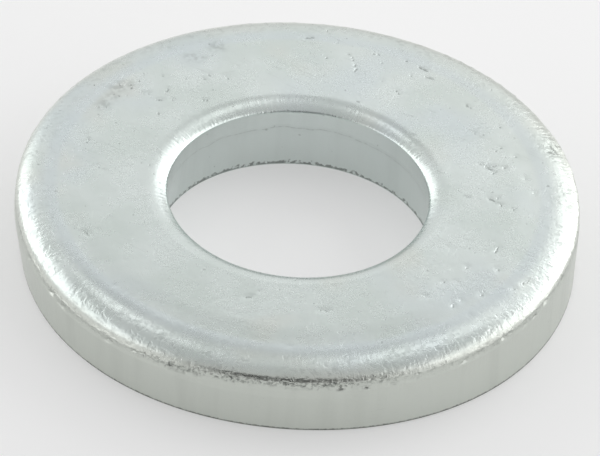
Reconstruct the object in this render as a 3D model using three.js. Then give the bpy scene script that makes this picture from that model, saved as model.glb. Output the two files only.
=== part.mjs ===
// Flat washer, heavy series for a 20 mm bolt: 45 mm outside, 20.8 mm bore, 6.2 mm thick.
//
// The real washer is blanked and pierced out of steel strip in one press stroke and then zinc plated, so it is
// one piece. The tools drag the top skin of the strip down before they cut it. That leaves a rounded roll-over
// round the outer edge and a smaller one round the bore, and each ends in a crease where the cut wall starts.
// The cut is straight at first and then tears, which narrows the outside and opens the bore towards the bottom.
//
// Units are millimetres and +Z is up. The washer lies flat, its lower face on Z = 0, centred on the Z axis.

import * as THREE from "three";

// ---- Driving dimensions (mm) ----

const OUTER_DIAMETER = 45;
const BORE_DIAMETER = 20.8; // clearance for a 20 mm bolt
const THICKNESS = 6.2;

const SEGMENTS = 120; // facets round the axis: a multiple of 4, so the outside reaches its full size on X and Y

// A roll-over is part of an ellipse. It leaves the flat face level and stops at the crease, where a steeper
// `sweep` means a steeper end. The cut wall below is straight down to `tearDepth`, then drifts by `drift`.
const OUTER_EDGE = {
  rollWidth: 3.0,
  rollDepth: 1.0,
  sweep: 76, // degrees of the ellipse
  rollSteps: 8,
  tearDepth: 2.7, // below the top face
  drift: -0.3, // the outside narrows towards the bottom
  bottomBreak: 0.12, // small chamfer left by tumbling
};
const BORE_EDGE = {
  rollWidth: 1.9,
  rollDepth: 0.65,
  sweep: 50,
  rollSteps: 6,
  tearDepth: 2.0,
  drift: 0.08, // the bore opens towards the bottom
  bottomBreak: 0.1,
};

// ---- Profile ----

// The points of one cut edge from its flat top face down to the bottom face, as [radius, height] pairs.
// `wallRadius` is the radius of the straight cut, and `outward` is +1 for the outer edge and -1 for the bore.
function edgeProfile(edge, wallRadius, outward) {
  const sweep = THREE.MathUtils.degToRad(edge.sweep);
  const points = [];
  for (let i = 0; i <= edge.rollSteps; i++) {
    const angle = (sweep * i) / edge.rollSteps;
    const across = Math.sin(angle) / Math.sin(sweep); // 0 at the flat face, 1 at the crease
    const down = (1 - Math.cos(angle)) / (1 - Math.cos(sweep));
    const radius = wallRadius - outward * edge.rollWidth * (1 - across);
    points.push([radius, THICKNESS - edge.rollDepth * down]);
  }
  const bottomRadius = wallRadius + edge.drift;
  points.push([wallRadius, THICKNESS - edge.tearDepth]);
  points.push([bottomRadius, edge.bottomBreak]);
  points.push([bottomRadius - outward * edge.bottomBreak, 0]);
  return points;
}

// The whole section: up the bore from the bottom face, across the top, and down the outside. The first point
// is repeated at the end, so that the revolved surface closes along the bottom face.
function washerProfile() {
  const bore = edgeProfile(BORE_EDGE, BORE_DIAMETER / 2, -1).reverse();
  const outside = edgeProfile(OUTER_EDGE, OUTER_DIAMETER / 2, 1);
  const loop = [...bore, ...outside, bore[0]];
  return loop.map(([radius, height]) => new THREE.Vector2(radius, height)).reverse();
}

// ---- Mesh ----

function flatWasher() {
  const geometry = new THREE.LatheGeometry(washerProfile(), SEGMENTS);
  geometry.rotateX(Math.PI / 2); // LatheGeometry turns about Y, and the washer's axis is Z
  const zincPlate = new THREE.MeshStandardMaterial({
    color: "#c3cac7", // bright zinc with a faint green-grey cast
    roughness: 0.38,
    metalness: 1.0,
  });
  const washer = new THREE.Mesh(geometry, zincPlate);
  washer.name = "washer";
  return washer;
}

const part = new THREE.Group();
part.name = "flat_washer";
part.add(flatWasher());

export default part;
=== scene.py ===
# %% [markdown]
# # A heavy flat washer
#
# This lesson dresses a plain CAD ring as the real thing: a thick steel washer, stamped out of strip and zinc
# plated, lying on a pale table. The real one is a single piece of metal. What makes it look real is not parts
# but the marks of how it was made: edges rolled down by the punch, a sharp ragged crease where the cut began,
# smooth cut walls, and a thin satin coat of zinc that has been knocked about in a barrel with its fellows.
#
# The CAD model is loaded first and is never moved or resized. Everything below takes its sizes from it.

# %% Load the frame
import math
import random

import bpy
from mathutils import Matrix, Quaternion, Vector


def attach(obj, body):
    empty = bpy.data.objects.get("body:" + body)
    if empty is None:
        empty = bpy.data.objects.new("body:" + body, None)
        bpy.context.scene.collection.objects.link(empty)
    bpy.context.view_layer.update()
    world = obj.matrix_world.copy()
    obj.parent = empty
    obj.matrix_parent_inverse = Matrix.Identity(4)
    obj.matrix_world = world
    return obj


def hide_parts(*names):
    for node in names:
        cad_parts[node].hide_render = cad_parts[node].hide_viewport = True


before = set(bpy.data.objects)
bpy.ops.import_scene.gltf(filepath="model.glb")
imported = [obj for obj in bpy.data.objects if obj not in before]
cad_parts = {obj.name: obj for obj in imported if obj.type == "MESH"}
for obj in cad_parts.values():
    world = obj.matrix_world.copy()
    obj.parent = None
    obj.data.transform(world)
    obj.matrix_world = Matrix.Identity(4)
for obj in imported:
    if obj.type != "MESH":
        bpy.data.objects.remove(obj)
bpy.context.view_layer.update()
MM = 0.001

# %% [markdown]
# ## Measuring the CAD ring
#
# The CAD solid is a section swept round the Z axis, so the radius and height of its corners are that section.
# The sizes could be typed in again, but then the two models could drift apart. Reading them off the corners
# keeps the finished washer on the CAD one: where the flat top ends, where each crease is, where each cut wall
# starts to drift, and where it meets the lower face.

# %% Read the section's sizes


def section_corners(node):
    """The (radius, height) corners of a turned CAD node, in metres, without repeats."""
    points = {(round(v.co.xy.length, 6), round(v.co.z, 6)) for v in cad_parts[node].data.vertices}
    return sorted(points)


corners = section_corners("washer")
top = max(z for r, z in corners)
outer_wall = max(r for r, z in corners)
bore_wall = min(r for r, z in corners)
flat_radii = [r for r, z in corners if z == top]
foot_radii = [r for r, z in corners if z == 0]
outer_tear, outer_crease = sorted(z for r, z in corners if r == outer_wall)
bore_tear, bore_crease = sorted(z for r, z in corners if r == bore_wall)
bore_low, outer_low = sorted((r, z) for r, z in corners if 0 < z < min(outer_tear, bore_tear))
flat_inside, flat_outside = min(flat_radii), max(flat_radii)

print(f"outside {2 * outer_wall / MM:.1f} mm, bore {2 * bore_wall / MM:.1f} mm, thickness {top / MM:.1f} mm")
print(f"flat top from {flat_inside / MM:.2f} to {flat_outside / MM:.2f} mm radius")
print(f"creases at {outer_crease / MM:.2f} and {bore_crease / MM:.2f} mm height")

# %% [markdown]
# ## The section
#
# The finished ring needs far more points than the CAD one, close together where the real metal has detail: at
# the creases and down the cut walls. Subdividing the CAD ring would put them everywhere and soften its
# creases, so they are laid out one by one, on the same lines. A roll-over is part of an ellipse: it leaves
# the flat top level and drops ever more steeply to its crease, just as sheet bends into a die. The crease
# itself is sharp, but not a knife edge, so its last points follow a small soft corner.

# %% Three ways to lay points


def between(start, end, steps):
    """Evenly spaced points from start up to, but not including, end."""
    return [tuple(a + (b - a) * i / steps for a, b in zip(start, end)) for i in range(steps)]


def roll_over(flat, crease, sweep, steps):
    """Points from the edge of the flat top down to the crease, without the crease itself."""
    points = []
    for i in range(steps):
        angle = sweep * i / steps
        across = math.sin(angle) / math.sin(sweep)
        down = (1 - math.cos(angle)) / (1 - math.cos(sweep))
        points.append((flat[0] + (crease[0] - flat[0]) * across, flat[1] + (crease[1] - flat[1]) * down))
    return points


def soft_corner(start, corner, end, steps):
    """Points of a parabola that leaves start towards the corner, and stops just short of end."""
    points = []
    for i in range(steps):
        t = i / steps
        weights = ((1 - t) ** 2, 2 * t * (1 - t), t * t)
        points.append(tuple(sum(w * p[k] for w, p in zip(weights, (start, corner, end))) for k in (0, 1)))
    return points


print("a straight stretch in 4 steps:", between((0, 0), (1, 2), steps=4))

# %% Find the ends of each stretch of the section
OUTER_SWEEP, BORE_SWEEP = math.radians(76), math.radians(50)  # how much of the ellipse each roll-over has
OUTER_DROP, OUTER_SOFT = 0.06 * MM, 0.40 * MM  # how far the crease sags, and how much wall its rounding takes
BORE_DROP, BORE_SOFT = 0.02 * MM, 0.10 * MM

outer_corner = (outer_wall, outer_crease - OUTER_DROP)
outer_under = (outer_wall, outer_corner[1] - OUTER_SOFT)
bore_corner = (bore_wall, bore_crease - BORE_DROP)
bore_under = (bore_wall, bore_corner[1] - BORE_SOFT)

# The last points of each roll-over make way for the soft corner.
outer_roll = roll_over((flat_outside, top), (outer_wall, outer_crease), OUTER_SWEEP, steps=20)[:-2]
bore_roll = roll_over((flat_inside, top), (bore_wall, bore_crease), BORE_SWEEP, steps=17)[:-1]
print(len(outer_roll), "points on the outer roll-over and", len(bore_roll), "on the bore's")

# %% Join the stretches: out along the bottom, up the outside, in across the top and down the bore
inner_foot, outer_foot = (min(foot_radii), 0), (max(foot_radii), 0)
outer_cut_start, bore_cut_start = (outer_wall, outer_tear), (bore_wall, bore_tear)
section = [
    *between(inner_foot, outer_foot, steps=6),
    *between(outer_foot, outer_low, steps=3),
    *between(outer_low, outer_cut_start, steps=16),
    *between(outer_cut_start, outer_under, steps=12),
    *soft_corner(outer_under, outer_corner, outer_roll[-1], steps=10),
    *reversed(outer_roll),
    *between((flat_outside, top), (flat_inside, top), steps=43)[1:],
    *bore_roll[:-1],
    *soft_corner(bore_roll[-1], bore_corner, bore_under, steps=4),
    *between(bore_under, bore_cut_start, steps=10),
    *between(bore_cut_start, bore_low, steps=15),
    *between(bore_low, inner_foot, steps=3),
]
print(len(section), "points in the section, in the order that makes the faces of the ring point outwards")

# %% Make the section a line of points that Geometry Nodes can read


def line_object(name, points, edges):
    """A mesh object that has only points and edges: something for a node tree to read, not a piece."""
    mesh = bpy.data.meshes.new(name)
    mesh.from_pydata(points, edges, [])
    made = bpy.data.objects.new(name, mesh)
    bpy.context.scene.collection.objects.link(made)
    return made


washer = line_object("flat_washer", [(r, 0, z) for r, z in section], [])
print("section stored in", washer.name)

# %% [markdown]
# ## Knocks and stains
#
# Washers are plated and shipped loose, so each carries a few dings from its neighbours. They could be painted
# or sculpted one by one. Here each is a short line on the top face, so that it can be moved by changing a
# number, and a node tree then presses the face in wherever it is close to a line. The large ones are listed
# one by one. The small pits are thrown with a fixed seed, in the patches where a washer catches most of them.

# %% List the knocks
KNOCKS = [  # degrees round the ring, radius in mm, length in mm, heading in degrees
    (15, 15.6, 0.7, -25),
    (16, 15.8, 0.8, 5),
    (13, 15.9, 0.6, 50),
    (0, 15.5, 1.0, -35),
    (60, 19.0, 0.9, -30),
    (57, 18.3, 0.7, -20),
    (77, 17.0, 1.6, -75),
    (76, 16.2, 0.6, 80),
    (90, 19.6, 0.8, 5),
    (86, 20.8, 0.6, -70),
    (140, 15.3, 0.4, 20),
    (128, 13.0, 0.3, 10),
    (167, 17.5, 0.4, 60),
    (-155, 18.0, 0.5, -40),
    (-103, 14.3, 0.5, 15),
    (-80, 15.2, 0.7, 10),
    (-21, 17.0, 0.6, 70),
    (60, 15.0, 0.5, -60),
    (42, 17.8, 0.6, -50),
    (20, 21.5, 1.1, -55),
    (19, 21.1, 0.6, -10),
    (-28, 20.6, 0.6, 40),
]
STAINS = [(120, 18.3, 0.7, 0), (150, 18.4, 1.4, 60), (143, 18.7, 1.0, 35), (113, 19.0, 0.3, 0)]  # as above
print(len(KNOCKS), "knocks and", len(STAINS), "stains")

# %% Throw the small pits
PIT_CLUSTERS = [  # degrees round the ring, radius in mm, the spread of each of those, and how many pits
    (141, 18.5, 8, 0.9, 16),
    (12, 17.5, 9, 1.3, 14),
    (74, 17.5, 8, 1.2, 10),
    (128, 14.5, 7, 0.8, 6),
    (-35, 18.0, 12, 1.5, 8),
]
PIT_LENGTHS = (0.05, 0.25)  # mm
PIT_HEADINGS = (0, 180)  # degrees
dice = random.Random(5)


def pit(angle, radius, turn_spread, out_spread):
    """One short mark near that place."""
    turn, out = dice.gauss(angle, turn_spread), dice.gauss(radius, out_spread)
    return turn, out, dice.uniform(*PIT_LENGTHS), dice.uniform(*PIT_HEADINGS)


pits = [pit(*cluster) for *cluster, count in PIT_CLUSTERS for _ in range(count)]
print(len(pits), "small pits")

# %% Turn the marks into lines


def mark_line(angle, radius, length, heading):
    """The two ends of a short line on the top face, flattened to height zero, in metres."""
    turn, aim = math.radians(angle), math.radians(heading)
    middle = Vector((math.cos(turn), math.sin(turn), 0)) * radius * MM
    half = Vector((math.cos(aim), math.sin(aim), 0)) * length * MM / 2
    return [middle - half, middle + half]


def mark_object(name, marks):
    """One object that holds a separate edge for each mark."""
    ends = [end for mark in marks for end in mark_line(*mark)]
    return line_object(name, ends, [(i, i + 1) for i in range(0, len(ends), 2)])


knock_lines = mark_object("knock_lines", KNOCKS + pits)
stain_lines = mark_object("stain_lines", STAINS)
print(len(knock_lines.data.edges), "lines for knocks and pits,", len(stain_lines.data.edges), "for stains")

# %% [markdown]
# ## Writing node trees as sums
#
# Both the shape and the finish below come from node trees. They could be drawn by hand in the node editor,
# but in a script a tree is easier to read when its arithmetic looks like arithmetic. So a small class wraps
# an output socket: adding or multiplying two wires adds a Math node, and `node` adds any other node, with
# its settings first and then the values or wires of its sockets.

# %% A wire that can be added and multiplied


class Wire:
    """An output socket in a node tree."""

    def __init__(self, tree, socket=None):
        self.tree, self.socket = tree, socket

    def node(self, kind, inputs, output=0, **settings):
        """Adds a node of that kind, and returns a wire from its output."""
        made = self.tree.nodes.new(kind)
        for setting, value in settings.items():
            setattr(made, setting, value)
        for key, value in inputs.items():
            if isinstance(value, Wire):
                self.tree.links.new(value.socket, made.inputs[key])
            else:
                made.inputs[key].default_value = value
        return Wire(self.tree, made.outputs[output])

    def math(self, operation, *others):
        return self.node("ShaderNodeMath", dict(enumerate((self, *others))), operation=operation)

    def __add__(self, other):
        return self.math("ADD", other)

    def __mul__(self, other):
        return self.math("MULTIPLY", other)

    def __sub__(self, other):
        return self.math("SUBTRACT", other)

    def __rsub__(self, other):
        return self.math("MULTIPLY_ADD", -1.0, other)

    def __truediv__(self, other):
        return self.math("DIVIDE", other)

    __radd__, __rmul__ = __add__, __mul__


print("wires can be added, subtracted, multiplied and divided")

# %% Helpers that make numbers


def ramp(wire, low, high):
    """Goes smoothly from 0 where the wire is low to 1 where it is high, and stays there."""
    sockets = {"Value": wire, "From Min": low, "From Max": high}
    return wire.node("ShaderNodeMapRange", sockets, interpolation_type="SMOOTHSTEP")


def band(wire, rises, full, falls, gone):
    """Goes smoothly from 0 to 1 as the wire goes from rises to full, and back to 0 from falls to gone."""
    return ramp(wire, rises, full) * (1 - ramp(wire, falls, gone))


def noise(at, size, seed, detail=2.0):
    """Cloudy noise from 0 to 1 with lumps of that size in metres. Each seed gives another pattern."""
    sockets = {"Vector": at, "W": seed if isinstance(seed, Wire) else float(seed)}
    sockets |= {"Scale": 1 / size, "Detail": detail}
    return at.node("ShaderNodeTexNoise", sockets, noise_dimensions="4D")


def patches(at, size, seed, low, high, detail=2.0):
    """Patches of 1 on a ground of 0: noise cut off smoothly between two of its levels."""
    return ramp(noise(at, size, seed, detail), low, high)


print("number helpers ready")

# %% Helpers that take a vector apart and put one together


def split(vector):
    """The X, Y and Z of a vector wire."""
    first = vector.node("ShaderNodeSeparateXYZ", {"Vector": vector})
    return [Wire(vector.tree, part) for part in first.socket.node.outputs]


def join(x, y, z):
    """A vector wire from three numbers or wires, one of them a wire."""
    some = next(value for value in (x, y, z) if isinstance(value, Wire))
    return some.node("ShaderNodeCombineXYZ", {"X": x, "Y": y, "Z": z})


print("vector helpers ready")

# %% [markdown]
# ## The ring as a rule
#
# The Screw modifier could sweep the section, but it gives a perfect ring, with no say over single points. The
# ring's shape follows a rule, so Geometry Nodes make it. A flat grid has one column for each step round the
# ring and one row for each point of the section. Each grid point looks up its place on the section and swings
# it round the axis: the grid is rolled up twice, once along the section and once round the bore, and its open
# edges are welded.
#
# A stamped ring is never perfectly round. The punch and the die don't quite line up, and the strip they cut
# isn't held evenly, so the crease rises on one side and dips towards the front, the cut walls lean and open
# unevenly towards the bottom, and the bore's roll-over is narrower on one side. Each of these has its own
# input, and each stays inside the CAD ring's box.

# %% Start the tree and name its inputs
COLUMNS = 640
SEED = 3
SIZES = {
    "Swing": 0.30 * MM,  # how much the outer crease rises on one side and sinks on the other
    "Swing Towards": math.radians(35),  # which way round the ring it rises
    "Dip": 0.42 * MM,  # how much lower the outer crease runs on the two front diagonals
    "Dip Left": 0.45,  # how much more of that dip falls on -X than on +X, as a share
    "Lean": 0.28 * MM,  # how far the foot of the outer wall is carried towards +X
    "Fullness": 0.24 * MM,  # how much less the outer wall draws in on the diagonals than on X and Y
    "Spread": 0.36 * MM,  # how much wider the bore's foot is along X than along Y
    "Pinch": 0.3 * MM,  # how much narrower the bore's roll-over is on +X than on -X
    "Shoulder": 0.06 * MM,  # how far the top has already sunk where the outer roll-over starts
}
INPUTS = {"Section": "Geometry", "Columns": "Int"} | dict.fromkeys(SIZES, "Float")
INPUTS |= {"Knocks": "Object", "Stains": "Object", "Seed": "Int", "Finish": "Material"}

turning = bpy.data.node_groups.new("turned_ring", "GeometryNodeTree")
for title, kind in INPUTS.items():
    turning.interface.new_socket(title, in_out="INPUT", socket_type="NodeSocket" + kind)
turning.interface.new_socket("Ring", in_out="OUTPUT", socket_type="NodeSocketGeometry")

source = turning.nodes.new("NodeGroupInput")
given = {title: Wire(turning, source.outputs[title]) for title in INPUTS}
seed = given["Seed"]
print("inputs:", ", ".join(given))

# %% Make the grid, and find each point's row and column
rows = given["Section"].node(
    "GeometryNodeAttributeDomainSize", {"Geometry": given["Section"]}, output="Point Count", component="MESH"
)
grid = rows.node("GeometryNodeMeshGrid", {"Vertices X": given["Columns"] + 1, "Vertices Y": rows + 1})
index = grid.node("GeometryNodeInputIndex", {})
row = index.math("FLOORED_MODULO", rows + 1).math("FLOORED_MODULO", rows)
column = (index / (rows + 1)).math("FLOOR")
print("grid of", COLUMNS, "columns and", len(section), "rows")

# %% Look up each row's place on the section, and each column's turn round the axis
on_section = grid.node(
    "GeometryNodeSampleIndex",
    {"Geometry": given["Section"], "Value": grid.node("GeometryNodeInputPosition", {}), "Index": row},
    data_type="FLOAT_VECTOR",
    domain="POINT",
)
radius, _, height = split(on_section)
turn = column / given["Columns"] * math.tau
cosine, sine = turn.math("COSINE"), turn.math("SINE")
diagonal = cosine * sine * cosine * sine * 4  # 1 on the diagonals, and 0 on X and Y
print("one step round the ring is", round(360 / COLUMNS, 3), "degrees")

# %% Say how far the crease rises, and which part of the section a point is on
FRONT_FADE = 0.5  # how far round the front the dip reaches its full depth, as a sine

at_front = ramp(0 - sine, 0.0, FRONT_FADE)
swung = (turn - given["Swing Towards"]).math("COSINE") * given["Swing"]
swung = swung - given["Dip"] * (1 - cosine * given["Dip Left"]) * diagonal * at_front
crease_height = outer_crease + swung

is_top = ramp(height, bore_tear, bore_crease)  # the whole top, with both roll-overs
outer_half = ramp(radius, flat_inside, flat_outside)
below_top = ((top - height) / (top - outer_crease)).math("MINIMUM", 1.0)  # 1 at the crease and below it
above_tear = (height - outer_tear) / (outer_crease - outer_tear)
above_tear = above_tear.math("MINIMUM", 1.0).math("MAXIMUM", 0.0)
below_outer_tear = 1 - (height / outer_tear).math("MINIMUM", 1.0)
below_bore_tear = 1 - (height / bore_tear).math("MINIMUM", 1.0)
print(f"the outer wall tears below {outer_tear / MM:.2f} mm, and the bore's below {bore_tear / MM:.2f} mm")

# %% Bend the section, and swing it round the axis
PINCH_REACH = 3 * MM  # how far across the flat top the pinch fades out
SHOULDER_REACH = 2.5 * MM  # how far before the outer roll-over the top starts to sink

pinched = band(radius, bore_wall, flat_inside, flat_inside, flat_inside + PINCH_REACH) * is_top
sunk = band(radius, flat_outside - SHOULDER_REACH, flat_outside, flat_outside, outer_wall)
lifted = height + swung * below_top * above_tear * outer_half - given["Shoulder"] * sunk * is_top
drawn_in = radius - given["Pinch"] * (cosine + 1) * 0.5 * pinched
widened = given["Fullness"] * diagonal * below_outer_tear * outer_half
widened = widened + given["Spread"] * cosine * cosine * below_bore_tear * (1 - outer_half)
carried = given["Lean"] * below_outer_tear * outer_half

reach = drawn_in + widened
place = join(reach * cosine + carried, reach * sine, lifted)
ring = grid.node("GeometryNodeSetPosition", {"Geometry": grid, "Position": place})
print("swing", SIZES["Swing"] / MM, "mm and lean", SIZES["Lean"] / MM, "mm")

# %% [markdown]
# ## Marks of the press and the barrel
#
# The surface is then pressed in, along its own normals and never outwards, so the washer stays in its box:
#
# - the top has a faint waviness, a few small random dings and the listed knocks
# - just under the outer crease the cut wall is torn in small nicks, and the crease itself runs ragged
# - the bore has a burnished band above and a slightly rougher band below, with a wandering border
#
# Bump in the finish could fake all of this, but the crease is seen edge-on, where only real shape shows. The
# same masks are stored on the points, because the finish is darker in the knocks and duller on the cut.

# %% Store what the finish needs to know, and weld the seams
FAR_ABOVE = 9.0  # mm: stands for a point that is nowhere near what is measured
WALL_FADE = 0.1  # mm over which a wall's mask comes in below its crease
OUTER_FADE, BORE_FADE = 0.1 * MM, 0.06 * MM  # and across it
WELD = 1e-6  # metres


def store(geometry, name, value):
    """Stores a number on every point under that name."""
    sockets = {"Geometry": geometry, "Name": name, "Value": value}
    return geometry.node("GeometryNodeStoreNamedAttribute", sockets, data_type="FLOAT", domain="POINT")


# How far below its crease each point is, in mm: negative on the roll-over, far negative on the other half.
outer_side = radius.math("GREATER_THAN", (flat_inside + flat_outside) / 2)
under_outer = (crease_height - lifted) / MM * outer_side - (1 - outer_side) * FAR_ABOVE
under_bore = (bore_crease - height) / MM * (1 - outer_side) - outer_side * FAR_ABOVE
is_outer_wall = ramp(radius, outer_low[0] - OUTER_FADE, outer_low[0]) * ramp(under_outer, 0.0, WALL_FADE)
is_bore_wall = ramp(0 - radius, -bore_low[0] - BORE_FADE, -bore_low[0]) * ramp(under_bore, 0.0, WALL_FADE)

ring = store(ring, "outer_cut", is_outer_wall)
ring = store(ring, "bore_cut", is_bore_wall)
ring = store(ring, "under_outer", under_outer)
ring = store(ring, "under_bore", under_bore)
ring = ring.node("GeometryNodeMergeByDistance", {"Geometry": ring, "Distance": WELD})
print("masks and distances stored on the points")

# %% Read them back on the welded ring


def stored(name):
    """A number that was stored on the points."""
    return ring.node("GeometryNodeInputNamedAttribute", {"Name": name}, data_type="FLOAT")


outer_cut, bore_cut = stored("outer_cut"), stored("bore_cut")
outer_depth, bore_depth = stored("under_outer"), stored("under_bore")
at = ring.node("GeometryNodeInputPosition", {})
x, y, z = split(at)
facing_up = ramp(z, outer_tear, outer_crease - given["Swing"]) * (1 - outer_cut) * (1 - bore_cut)
print("the top is everything above", round(outer_crease / MM - SIZES["Swing"] / MM, 2), "mm but the walls")

# %% Find how near each point is to the listed marks
DENT_REACH = 0.34  # mm from a mark's line


def away_from(marks):
    """How far each point is from the nearest of the marks' lines, in mm, seen from above."""
    lines = at.node("GeometryNodeObjectInfo", {"Object": marks}, output="Geometry")
    sockets = {0: lines, "Sample Position": join(x, y, 0.0)}
    distance = at.node("GeometryNodeProximity", sockets, output="Distance", target_element="EDGES")
    return distance / MM + (1 - facing_up) * FAR_ABOVE


from_knock, from_stain = away_from(given["Knocks"]), away_from(given["Stains"])
dented = 1 - ramp(from_knock, 0.0, DENT_REACH)
print("dents reach", DENT_REACH, "mm from their lines")

# %% Press the top in
WAVE, DING, DENT = 0.030, 0.020, 0.05  # mm deep at most

waves = noise(at, 7 * MM, seed, detail=1.0) * WAVE
dings = patches(at, 0.9 * MM, seed + 1, 0.66, 0.80, detail=1.0) * DING
top_depth = facing_up * (waves + dings + dented * DENT)
print("the top is pressed in by up to", WAVE + DING + DENT, "mm")

# %% Tear the outer wall, and let both walls drag
TEAR, NICK, DRAG, BORE_DRAG = 0.13, 0.20, 0.035, 0.025  # mm deep at most
DRAWN_OUT = 0.12  # how much the height counts where noise is drawn out down the walls

flattened = join(x, y, z * DRAWN_OUT)
torn_band = band(outer_depth, 0.05, 0.20, 0.45, 0.90)  # mm under the crease
torn = noise(at, 0.33 * MM, seed + 2) * TEAR * torn_band
nicks = patches(at, 0.7 * MM, seed + 3, 0.56, 0.68) * NICK * torn_band
drag = noise(flattened, 0.5 * MM, seed + 4) * DRAG
bore_drag = noise(flattened, 0.45 * MM, seed + 6) * BORE_DRAG
wall_depth = outer_cut * (torn + nicks + drag)
print("the outer wall is cut in by up to", TEAR + NICK + DRAG, "mm")

# %% Step the bore in where the burnished band ends
BURNISHED = 1.25  # mm under the bore's crease at least
WANDER, TILT = 0.8, 12.0  # how many mm the border wanders, and how many it sinks for each metre towards +X
STEP_DEPTH = 0.06  # mm
BORDER_SEED = 5


def below_border(depth_under_crease, where, sideways, pattern):
    """How far a point of the bore is below the border of the burnished band, in mm. Both trees use it."""
    return depth_under_crease - (BURNISHED + noise(where, 2.2 * MM, pattern) * WANDER + sideways * TILT)


stepped = ramp(below_border(bore_depth, at, x, seed + BORDER_SEED), -0.06, 0.10)
bore_wall_depth = bore_cut * (stepped * STEP_DEPTH + bore_drag)
print("the bore's burnished band is", BURNISHED, "to", BURNISHED + WANDER, "mm wide")

# %% Press it all in, and let the crease run ragged
FINE_RAGS, COARSE_RAGS = 0.55, 0.25  # mm up and down
FAR_ENOUGH = 3.0  # mm: the finish needs no distance beyond this

depth = (top_depth + wall_depth + bore_wall_depth) * MM
normal = ring.node("GeometryNodeInputNormal", {})
pressed = normal.node("ShaderNodeVectorMath", {0: normal, "Scale": depth * -1.0}, operation="SCALE")

at_crease = band(outer_depth, -0.32, 0.06, 0.20, 0.65)
ragged = (noise(at, 0.42 * MM, seed + 7, detail=3.0) - 0.5) * FINE_RAGS
ragged = ragged + (noise(at, 2.4 * MM, seed + 8) - 0.5) * COARSE_RAGS
sink = join(0.0, 0.0, at_crease * ragged * MM)
offset = pressed.node("ShaderNodeVectorMath", {0: pressed, 1: sink}, operation="ADD")
ring = ring.node("GeometryNodeSetPosition", {"Geometry": ring, "Offset": offset})
ring = store(ring, "from_knock", from_knock.math("MINIMUM", FAR_ENOUGH))
ring = store(ring, "from_stain", from_stain.math("MINIMUM", FAR_ENOUGH))
print("the crease wanders by up to", (FINE_RAGS + COARSE_RAGS) / 2, "mm each way")

# %% End the tree
ring = ring.node("GeometryNodeSetShadeSmooth", {"Geometry": ring})
ring = ring.node("GeometryNodeRealizeInstances", {"Geometry": ring})
ring = ring.node("GeometryNodeSetMaterial", {"Geometry": ring, "Material": given["Finish"]})
turning.links.new(ring.socket, turning.nodes.new("NodeGroupOutput").inputs["Ring"])
print(len(turning.nodes), "nodes in the ring's tree")

# %% [markdown]
# ## Zinc plate
#
# Barrel zinc is a thin metal coat on steel: metallic, satin, and faintly green-grey, with cooler and warmer
# clouds where the bath left it thicker or thinner. Seen close it is not smooth. It has a fine grain that
# breaks the edge of every highlight into sparkle, hair scratches in all directions, drawn lines where the
# punch dragged the metal, and dirt in every nick.
#
# An image could be wrapped round the ring, but it would stretch on the roll-overs. Every layer here is noise
# read in the washer's own space, so it has the same fine scale everywhere, and a mask holds each layer to the
# place where the real metal has it.

# %% Start the finish: where a point is, and what the ring's tree stored there
OUTER_LEAD, BORE_LEAD = 0.5 * MM, 0.3 * MM  # how far before each roll-over its marks begin

zinc = bpy.data.materials.new("zinc_plate")
zinc.use_nodes = True
shader = zinc.node_tree.nodes["Principled BSDF"]
here = Wire(zinc.node_tree).node("ShaderNodeTexCoord", {}, output="Object")
hx, hy, hz = split(here)
out = (hx * hx + hy * hy).math("SQRT")


def painted(name):
    """Reads a number that the ring's tree stored."""
    return here.node("ShaderNodeAttribute", {}, output="Fac", attribute_name=name)


outer_face, bore_face = painted("outer_cut"), painted("bore_cut")
below_outer, below_bore = painted("under_outer"), painted("under_bore")
knock_away, stain_away = painted("from_knock"), painted("from_stain")
cut = outer_face + bore_face
on_outer_roll = ramp(out, flat_outside - OUTER_LEAD, outer_wall - OUTER_LEAD) * (1 - outer_face)
on_bore_roll = ramp(0 - out, -flat_inside - BORE_LEAD, -bore_wall) * (1 - bore_face)
print("places known: both cuts, both roll-overs, knocks and stains")

# %% Grain, pits and hair scratches, all over
HAIR_HEADINGS = (0.3, 1.2, 2.1, 2.8)  # radians
HAIR_WIDTH, HAIR_LENGTH = 0.05 * MM, 2.2 * MM
HAIR_SEED = 11


def scratches(heading, pattern):
    """Thin straight lines at that heading, in patches."""
    turned = here.node("ShaderNodeVectorRotate", {"Vector": here, "Angle": heading}, rotation_type="Z_AXIS")
    stretch = (1.0, HAIR_WIDTH / HAIR_LENGTH, 1.0)
    drawn = turned.node("ShaderNodeVectorMath", {0: turned, 1: stretch}, operation="MULTIPLY")
    patch = patches(here, 4 * MM, pattern + 0.5, 0.48, 0.62, detail=1.0)
    return patches(drawn, HAIR_WIDTH, pattern, 0.70, 0.84, detail=0.0) * patch


hair = sum(scratches(heading, HAIR_SEED + i) for i, heading in enumerate(HAIR_HEADINGS))
grain = noise(here, 0.16 * MM, 15, detail=3.0)
pebble = noise(here, 0.7 * MM, 16)
pin_pits = patches(here, 0.45 * MM, 19, 0.72, 0.79, detail=1.0) * (1 - outer_face)
speckle = noise(here, 0.25 * MM, 29, detail=3.0)
print(len(HAIR_HEADINGS), "sets of hair scratches")

# %% Drawn lines and scuffs on the roll-overs
SPOKE, WIDE_SPOKE = 0.12, 0.2  # how much the distance from the axis counts where noise runs out like spokes

spoke = join(hx / out * bore_wall, hy / out * bore_wall, out * SPOKE)
wide_spoke = join(hx / out * outer_wall, hy / out * outer_wall, out * WIDE_SPOKE)
bore_spokes = noise(spoke, 0.20 * MM, 17) * on_bore_roll
outer_spokes = noise(wide_spoke, 0.24 * MM, 28) * on_outer_roll
hammered = noise(here, 0.36 * MM, 37, detail=3.0)
scuffed = on_outer_roll * patches(here, 3.0 * MM, 33, 0.32, 0.55, detail=1.0)
scuffs = patches(here, 0.42 * MM, 34, 0.48, 0.64, detail=4.0) * scuffed
print("drawn lines on both roll-overs, and scuffs on the outer one")

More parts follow.
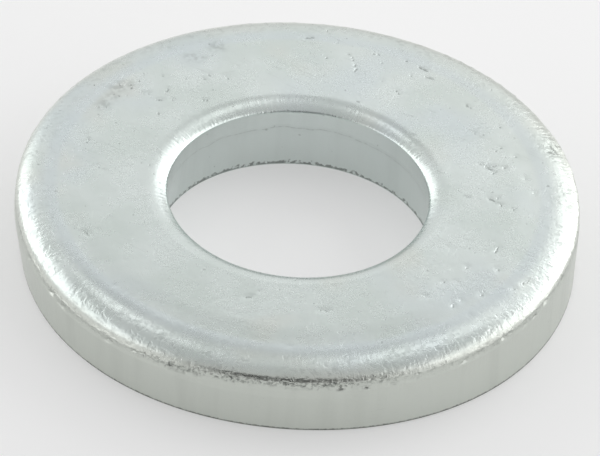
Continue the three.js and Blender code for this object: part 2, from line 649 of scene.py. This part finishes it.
# %% Drawn lines and tearing on the cuts, and the ragged lips of the knocks
UPRIGHT = 0.05  # how much the height counts where noise runs up the walls
FRAY = 0.35  # mm that the edge of a knock wanders

upright = join(hx, hy, hz * UPRIGHT)
uprights = noise(upright, 0.25 * MM, 18) * cut
tearing = noise(here, 0.2 * MM, 20, detail=3.0) * band(below_outer, -0.35, 0.1, 0.45, 1.1)
torn_patches = patches(here, 0.30 * MM, 30, 0.52, 0.64) * patches(here, 1.6 * MM, 31, 0.40, 0.60, detail=1.0)
torn_specks = torn_patches * band(below_outer, -0.42, -0.05, 0.30, 0.80)

frayed = knock_away + (noise(here, 0.22 * MM, 27) - 0.5) * FRAY
gouge = 1 - ramp(frayed, 0.02, 0.11)
lip = band(frayed, 0.06, 0.14, 0.16, 0.30)
print("tearing under the crease, gouges and lips")

# %% Add the relief up
MICRON = 1e-6
RELIEF = [  # each layer, and how many microns it stands up, or is cut in where that is negative
    (grain, 6.0),
    (pebble, 11.0),
    (hair, -6.0),
    (bore_spokes, 36.0),
    (outer_spokes, 20.25),
    (uprights, 14.0),
    (pin_pits, -14.0),
    (tearing, 46.0),
    (torn_specks, -30.0),
    (gouge, -22.0),
    (lip, 8.0),
    (scuffs, -15.0),
    (hammered * on_outer_roll, 18.0),
    (hammered * on_bore_roll, 16.0),
]
relief = sum(layer * microns for layer, microns in RELIEF)
bump = relief.node("ShaderNodeBump", {"Height": relief, "Distance": MICRON, "Strength": 1.0})
bump.tree.links.new(bump.socket, shader.inputs["Normal"])
print(len(RELIEF), "layers of relief")

# %% Painted shade at the feet and in the crease, and dirt along the bore
OUTER_FOOT_SHADE = (0.28 * MM, 0.46 * MM)  # painted shade at the outer foot, where it meets the table: the heights between which it thins out
OUTER_SHADE_RAGS = 0.30 * MM  # and how ragged that is
BORE_SHADE_HEIGHT, BORE_SHADE_RAGS = 0.12 * MM, 0.42 * MM  # how high the painted shade at the bore's foot stands, and how much higher in patches
BORE_SHADE_SHARE = 0.80  # how dark the painted shade at the bore's foot is, next to the outer one

# Painted shade: both feet are darkened in a ragged band where the washer meets the table, standing in for the
# contact shadow.
outer_foot_shade = (1 - ramp(hz + speckle * OUTER_SHADE_RAGS, *OUTER_FOOT_SHADE)) * outer_face
bore_shade_top = patches(here, 0.32 * MM, 32, 0.34, 0.70, detail=3.0) * BORE_SHADE_RAGS + BORE_SHADE_HEIGHT
bore_foot_shade = (1 - ramp(hz - bore_shade_top, -0.12 * MM, 0.08 * MM)) * bore_face * ramp(speckle, 0.18, 0.52)
foot_shade = outer_foot_shade + bore_foot_shade * BORE_SHADE_SHARE

# Painted shade: the crease is darkened just under its edge, in broken specks.
crease_shade = band(below_outer, -0.15, 0.08, 0.22, 0.60) * ramp(speckle, 0.46, 0.60)
streaks = patches(upright, 1.4 * MM, 36, 0.45, 0.70) * cut
border_line = band(below_border(below_bore, here, hx, SEED + BORDER_SEED), -0.05, 0.02, 0.04, 0.14)
border_line = border_line * bore_face * ramp(speckle, 0.35, 0.60)
stain = (1 - ramp(stain_away, 0.0, 1.1)) * patches(here, 0.5 * MM, 24, 0.35, 0.65)
print("dirt at two feet, in the crease, along the bore's border and in the stains")

# %% Add the dirt and the painted shade up
FRONT_SHADE_AT = -1.5 * MM  # the painted shade in the crease, and the darkening of its torn specks, are deepest near the front, just left of the middle
FRONT_SHADE_NEAR, FRONT_SHADE_FAR = 6 * MM, 11 * MM  # along X from there
SHADE_SPARED = 0.75  # the share of that painted shade and speck darkening that is missing beyond that

# Painted shade: the crease's darkening, and that of its torn specks, is kept full near the front and thinned
# out towards the sides.
front_shade_weight = 1 - ramp((hx - FRONT_SHADE_AT).math("ABSOLUTE"), FRONT_SHADE_NEAR, FRONT_SHADE_FAR) * SHADE_SPARED
GRIME_AND_SHADE = [  # each place that holds dirt or painted shade, and how much it holds
    (stain, 0.28),
    (gouge, 0.42),
    (pin_pits, 0.30),
    (foot_shade, 0.85),
    (crease_shade * front_shade_weight, 0.50),
    (torn_specks * front_shade_weight, 0.55),
    (scuffs, 0.16),
    (streaks, 0.05),
    (border_line, 0.22),
    (hair, 0.10),
]
grime_and_shade = sum(layer * amount for layer, amount in GRIME_AND_SHADE).math("MINIMUM", 1.0)
print(len(GRIME_AND_SHADE), "places that hold dirt")

# %% Colour
PALE_ZINC = (0.725, 0.785, 0.765, 1)
GREEN_ZINC = (0.665, 0.73, 0.70, 1)
BLUE_ZINC = (0.67, 0.735, 0.75, 1)
WARM_ZINC = (0.715, 0.745, 0.70, 1)
ROLLED_ZINC = (0.70, 0.725, 0.67, 1)
CUT_ZINC = (0.615, 0.645, 0.60, 1)
BORE_ZINC = (0.65, 0.705, 0.685, 1)
# the dark colour of dirt, and of the painted shade at the feet and in the crease
DIRT_AND_SHADE = (0.12, 0.13, 0.12, 1)
CLOUDY, PLAIN = 0.6, 0.85  # how strongly a cloud and a whole face take their tint

past_flat = (out - flat_outside) / MM
roll_start = band(past_flat, -0.6, 0.0, 0.3, 1.3)  # mm past the edge of the flat top
TINTS = [  # laid over the pale zinc one after another: where, and which
    (patches(here, 5 * MM, 21, 0.35, 0.68, detail=3.0), GREEN_ZINC),
    (patches(here, 8 * MM, 22, 0.50, 0.68, detail=1.0) * CLOUDY, BLUE_ZINC),
    (patches(here, 6 * MM, 23, 0.54, 0.72, detail=1.0) * CLOUDY, WARM_ZINC),
    (roll_start * CLOUDY, BLUE_ZINC),
    (ramp(below_outer, -0.85, -0.15) * PLAIN, ROLLED_ZINC),
    (outer_face * PLAIN, CUT_ZINC),
    (bore_face * PLAIN, BORE_ZINC),
    (grime_and_shade, DIRT_AND_SHADE),
]
colour = PALE_ZINC
for where, tint in TINTS:
    colour = where.node("ShaderNodeMix", {0: where, 6: colour, 7: tint}, output=2, data_type="RGBA")
colour.tree.links.new(colour.socket, shader.inputs["Base Color"])
print(len(TINTS), "tints over the pale zinc")

# %% Gloss
SATIN = 0.20
GLOSS = [  # what makes the satin coat duller, and by how much
    (noise(here, 2.5 * MM, 25), 0.10),
    (noise(here, 0.3 * MM, 26), 0.06),
    (cut, 0.06),
    (grime_and_shade, 0.2),
]
roughness = SATIN + sum(layer * amount for layer, amount in GLOSS)
roughness.tree.links.new(roughness.socket, shader.inputs["Roughness"])
shader.inputs["Metallic"].default_value = 1.0
print(len(zinc.node_tree.nodes), "nodes in the finish")

# %% [markdown]
# ## Baking the ring
#
# A modifier is worked out anew each time the file is opened, and other programs don't know Geometry Nodes. So
# the tree is put on the section's object as a modifier, its inputs are set by their identifiers, and the
# result is taken as a plain mesh. The modifier and the helper lines are no longer needed after that.

# %% Run the tree and keep the result
modifier = washer.modifiers.new("turning", "NODES")
modifier.node_group = turning
values = SIZES | {"Columns": COLUMNS, "Seed": SEED, "Finish": zinc}
values |= {"Knocks": knock_lines, "Stains": stain_lines}
for socket in turning.interface.items_tree:
    if socket.name in values:
        modifier[socket.identifier] = values[socket.name]

depsgraph = bpy.context.evaluated_depsgraph_get()
finished = bpy.data.meshes.new_from_object(washer.evaluated_get(depsgraph))
washer.modifiers.clear()
washer.data = finished
for helper in (knock_lines, stain_lines):
    bpy.data.objects.remove(helper)
triangles = sum(len(p.vertices) - 2 for p in finished.polygons)
print(len(finished.vertices), "points and", triangles, "triangles")

# %% Hang it on the frame
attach(washer, "root")
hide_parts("washer")
print(washer.name, "stands for the CAD ring")

# %% [markdown]
# ## The table
#
# The washer lies on a plain pale table, as if on a sheet of white acrylic lit from inside. Lamps alone could
# light it, but then the metal's shadow would be much darker than a light tent leaves it. A little light of
# its own keeps the table even and the shadow soft.

# %% Table
TABLE_SIZE = 6.0
TABLE_GAP = 0.02 * MM
TABLE_WHITE, TABLE_GLOW = 0.62, 0.325


def matt(name, shade, glow=0.0):
    """A plain matt grey that may also give light."""
    made = bpy.data.materials.new(name)
    made.use_nodes = True
    sockets = made.node_tree.nodes["Principled BSDF"].inputs
    sockets["Base Color"].default_value = (shade, shade, shade, 1)
    sockets["Roughness"].default_value = 1.0
    sockets["Specular IOR Level"].default_value = 0.0
    sockets["Emission Color"].default_value = (1, 1, 1, 1)
    sockets["Emission Strength"].default_value = glow
    return made


def staged(name, points, faces, material):
    """A mesh that belongs to the studio and not to the washer."""
    mesh = bpy.data.meshes.new(name)
    mesh.from_pydata(points, [], faces)
    mesh.materials.append(material)
    made = bpy.data.objects.new(name, mesh)
    bpy.context.scene.collection.objects.link(made)
    return made


sides = [(-1, -1), (1, -1), (1, 1), (-1, 1)]
table_corners = [(across * TABLE_SIZE / 2, along * TABLE_SIZE / 2, -TABLE_GAP) for across, along in sides]
staged("table", table_corners, [(0, 1, 2, 3)], matt("pale_table", TABLE_WHITE, TABLE_GLOW))
print("table", TABLE_SIZE, "m wide,", TABLE_GAP / MM, "mm under the washer")

# %% [markdown]
# ## The light
#
# Metal shows only what surrounds it, so the light is laid out as what the metal should reflect. Lamps give
# small glints, but the washer's roll-overs show long bands with clear edges. So the light comes from curved
# panels in a ring about the washer, like the walls of a small light tent:
#
# - a bright panel on each side, with dimmer ones at its ends, lights the shoulders of the rim
# - a softer panel behind, in two halves with a brighter strip on top, is what the flat top shows
# - two high lamps and a dim ceiling pick out the front roll-over and fill the rest
# - a dark card on the camera's side draws the dark line along the front crease, where the metal turns level
#
# The panels are hidden from the camera itself, so that they can't stand in the view.

# %% The grey room
ROOM = 0.57
world = bpy.data.worlds.new("grey_room")
world.use_nodes = True
world.node_tree.nodes["Background"].inputs["Color"].default_value = (ROOM, ROOM, ROOM, 1)
bpy.context.scene.world = world
print("room brightness", ROOM)

# %% The panels
FAR = 0.30  # metres from the washer to each panel
PANEL_STEP = 6  # degrees between the folds of a panel
PANELS = [  # name, azimuths and elevations in degrees, brightness
    ("right_light", (29, 85), (5, 44), 2.15),
    ("right_light_near", (85, 130), (5, 44), 1.35),
    ("right_light_edge", (18, 29), (24, 44), 1.9),
    ("left_light", (-37, -85), (5, 36), 1.8),
    ("left_light_near", (-85, -130), (5, 31), 1.4),
    ("left_light_edge", (-31, -37), (8, 36), 1.3),
    ("back_light_left", (-31, -4), (8, 39), 0.83),
    ("back_light_right", (-4, 17), (8, 39), 0.88),
    ("back_light_top", (-36, 17), (39, 42), 1.45),
    ("right_lamp", (14, 52), (56, 70), 1.5),
    ("left_lamp", (-68, -36), (55, 68), 1.55),
    ("ceiling", (-90, 90), (71, 88), 0.70),
    ("dark_card", (152, 208), (1, 40), 0.05),
]


def direction(azimuth, elevation):
    """The way to a point in the room: azimuth 0 is straight behind the washer, and positive to the right."""
    a, e = math.radians(azimuth), math.radians(elevation)
    return Vector((math.sin(a) * math.cos(e), math.cos(a) * math.cos(e), math.sin(e)))


def panel(name, azimuths, elevations, brightness):
    """A curved panel round the washer, between two azimuths and two elevations, of an even brightness."""
    start, end = azimuths
    steps = round(abs(end - start) / PANEL_STEP)
    turns = [start + (end - start) * i / steps for i in range(steps + 1)]
    points = [direction(azimuth, elevation) * FAR for azimuth in turns for elevation in elevations]
    faces = [(2 * i, 2 * i + 1, 2 * i + 3, 2 * i + 2) for i in range(steps)]
    staged(name, points, faces, matt(name, 0.0, brightness)).visible_camera = False


for name, azimuths, elevations, brightness in PANELS:
    panel(name, azimuths, elevations, brightness)
print(len(PANELS), "panels", FAR, "m away")

# %% [markdown]
# ## The camera
#
# The view is from the front and well above. A short lens close by would swell the near edge of the ring, so
# the camera stands back with a long one, and there is almost no perspective. It is turned a little about its
# own axis, because a camera held by hand is never quite level.

# %% Set the camera
AIM = Vector((0.335 * MM, -1.37 * MM, top / 2))
ELEVATION, ROLL = 39.353, 4.087  # degrees
AWAY = 448.8 * MM
LENS, SENSOR = 338.7, 36  # mm
NEAREST, FARTHEST = 0.05, 20  # metres that the camera sees

camera = bpy.data.cameras.new("camera")
camera.lens, camera.sensor_width = LENS, SENSOR
camera.clip_start, camera.clip_end = NEAREST, FARTHEST
viewer = bpy.data.objects.new("camera", camera)
bpy.context.scene.collection.objects.link(viewer)
backwards = direction(180, ELEVATION)
viewer.location = AIM + backwards * AWAY
level = (-backwards).to_track_quat("-Z", "Y")
viewer.rotation_mode = "QUATERNION"
viewer.rotation_quaternion = level @ Quaternion((0, 0, 1), math.radians(ROLL))
bpy.context.scene.camera = viewer
bpy.context.scene.view_settings.view_transform = "Standard"
print("camera", AWAY / MM, "mm away at", ELEVATION, "degrees")
